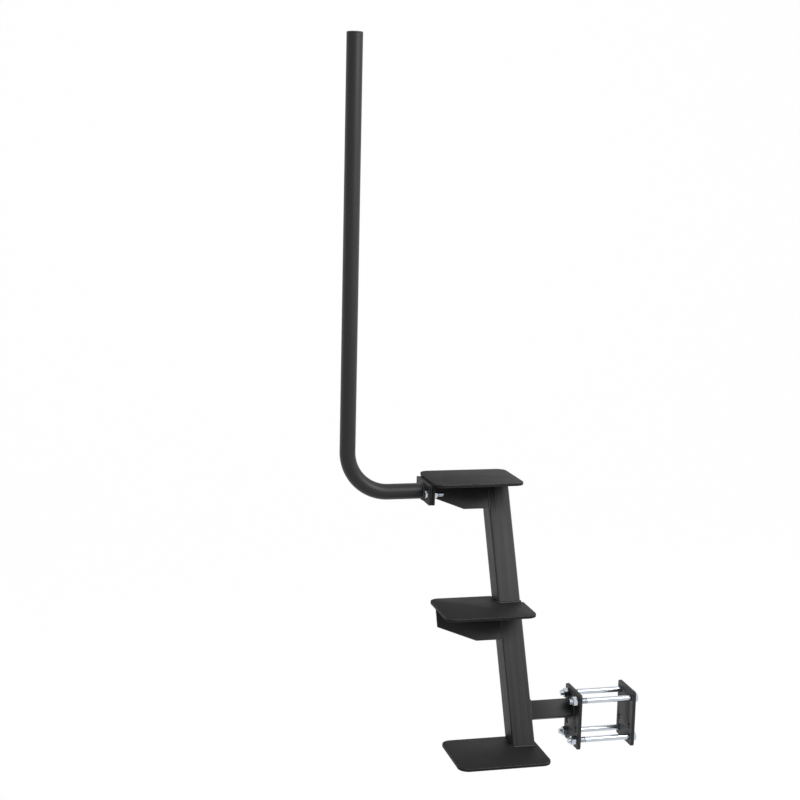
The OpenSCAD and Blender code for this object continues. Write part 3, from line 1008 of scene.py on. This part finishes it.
profile = [(PAPER_FRONT, 0.0), (PAPER_BACK, 0.0)]
profile += [(PAPER_BACK + PAPER_CURVE * sin(radians(a)), PAPER_CURVE * (1 - cos(radians(a))))
            for a in range(6, 91, 6)]
profile += [(PAPER_BACK + PAPER_CURVE, PAPER_TOP)]
floor_points = [(x, y, GROUND + z) for y, z in profile for x in (-PAPER_HALF_WIDTH, PAPER_HALF_WIDTH)]
floor_faces = [(2 * i, 2 * i + 1, 2 * i + 3, 2 * i + 2) for i in range(len(profile) - 1)]
floor = new_piece("paper_sweep", floor_points, floor_faces)
for polygon in floor.data.polygons:
    polygon.use_smooth = True
floor.data.materials.append(paper("pale_paper", shade=0.8, glow=0.93))
floor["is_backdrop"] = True
print("paper floor at", GROUND, "m, behind up to", PAPER_TOP, "m above it")

# %% [markdown]
# Lamps and world
#
# One large soft lamp stands high in front on the clamp's side and does most of the work, as in the
# photograph. A weak one on each side draws a line of light down the rail and the riser. The world is
# white for the camera and for reflections, so that the bolts mirror a bright room, and otherwise it
# gives no light.

# %% Lamps and world
MIDDLE = Vector((-0.2, 0.15, 0.5))
LAMP_DISTANCE = 3.2


def softbox(name, azimuth, above, width, height, power):
    """A soft lamp that looks at the middle of the ladder. azimuth goes round in degrees, from 0 on
    the climber's side to 90 on the clamp's, and above is how many degrees the lamp stands above it."""
    around, lift = radians(azimuth), radians(above)
    away = Vector((sin(around) * cos(lift), -cos(around) * cos(lift), sin(lift)))
    lamp = bpy.data.lights.new(name, "AREA")
    lamp.shape = "RECTANGLE"
    lamp.size, lamp.size_y, lamp.energy = width, height, power
    holder = bpy.data.objects.new(name, lamp)
    scene.collection.objects.link(holder)
    holder.location = MIDDLE + LAMP_DISTANCE * away
    holder.rotation_mode = "QUATERNION"
    holder.rotation_quaternion = (-away).to_track_quat("-Z", "Y")
    return holder


lamps = [softbox("key_softbox", azimuth=37, above=35, width=2.6, height=1.3, power=80),
         softbox("left_rim", azimuth=-120, above=5, width=1.2, height=1.4, power=3.6),
         softbox("right_rim", azimuth=90, above=5, width=2.4, height=1.4, power=6)]

world = bpy.data.worlds.new("studio")
scene.world = world
world.use_nodes = True
background = world.node_tree.nodes["Background"]
background.inputs["Color"].default_value = (1, 1, 1, 1)
world.node_tree.links.new(seen_directly(world.node_tree), background.inputs["Strength"])
scene.view_settings.view_transform = "Standard"
print("lamps:", [lamp.name for lamp in lamps])

# %% [markdown]
# The camera
#
# The photograph was taken from the left and from above, a little turned and with a long lens. Its
# place comes from lining up the edges of the steps, the riser, the rail and the clamp. Their real
# sizes aren't known: only the riser's width was assumed, as 2 inch tube, and the rest was worked out
# together with the camera. The focal length was chosen and held, which matters, because deeper steps
# under a longer lens line up at least as well. So a good match doesn't prove the sizes in depth.
# Yaw turns to the right of straight ahead, pitch looks up and roll tips the frame.

# %% Place the camera
CAMERA_PLACE = (-1.1373, -2.9212, 1.1765)
CAMERA_YAW, CAMERA_PITCH, CAMERA_ROLL = 0.2433, -0.1537, 0.0230
FOCAL_PIXELS = 1477.0
FRAME_PIXELS = 800
SENSOR = 36.0

level_ahead = Vector((sin(CAMERA_YAW), cos(CAMERA_YAW), 0))
level_right = Vector((cos(CAMERA_YAW), -sin(CAMERA_YAW), 0))
ahead = level_ahead * cos(CAMERA_PITCH) + Vector((0, 0, sin(CAMERA_PITCH)))
level_up = level_right.cross(ahead)
right = level_right * cos(CAMERA_ROLL) + level_up * sin(CAMERA_ROLL)
up = level_up * cos(CAMERA_ROLL) - level_right * sin(CAMERA_ROLL)
lens = bpy.data.cameras.new("camera")
lens.sensor_width = SENSOR
lens.lens = FOCAL_PIXELS * SENSOR / FRAME_PIXELS
lens.clip_start, lens.clip_end = 0.05, 50
camera = bpy.data.objects.new("camera", lens)
scene.collection.objects.link(camera)
turn = Matrix((right, up, -ahead)).transposed().to_4x4()
camera.matrix_world = Matrix.Translation(CAMERA_PLACE) @ turn
scene.camera = camera
print("lens in mm:", round(lens.lens, 2))

# %% Measure and finish
bpy.context.view_layer.update()
low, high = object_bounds()
print("visual box in mm:", [round(v / MM, 1) for v in (high - low)])
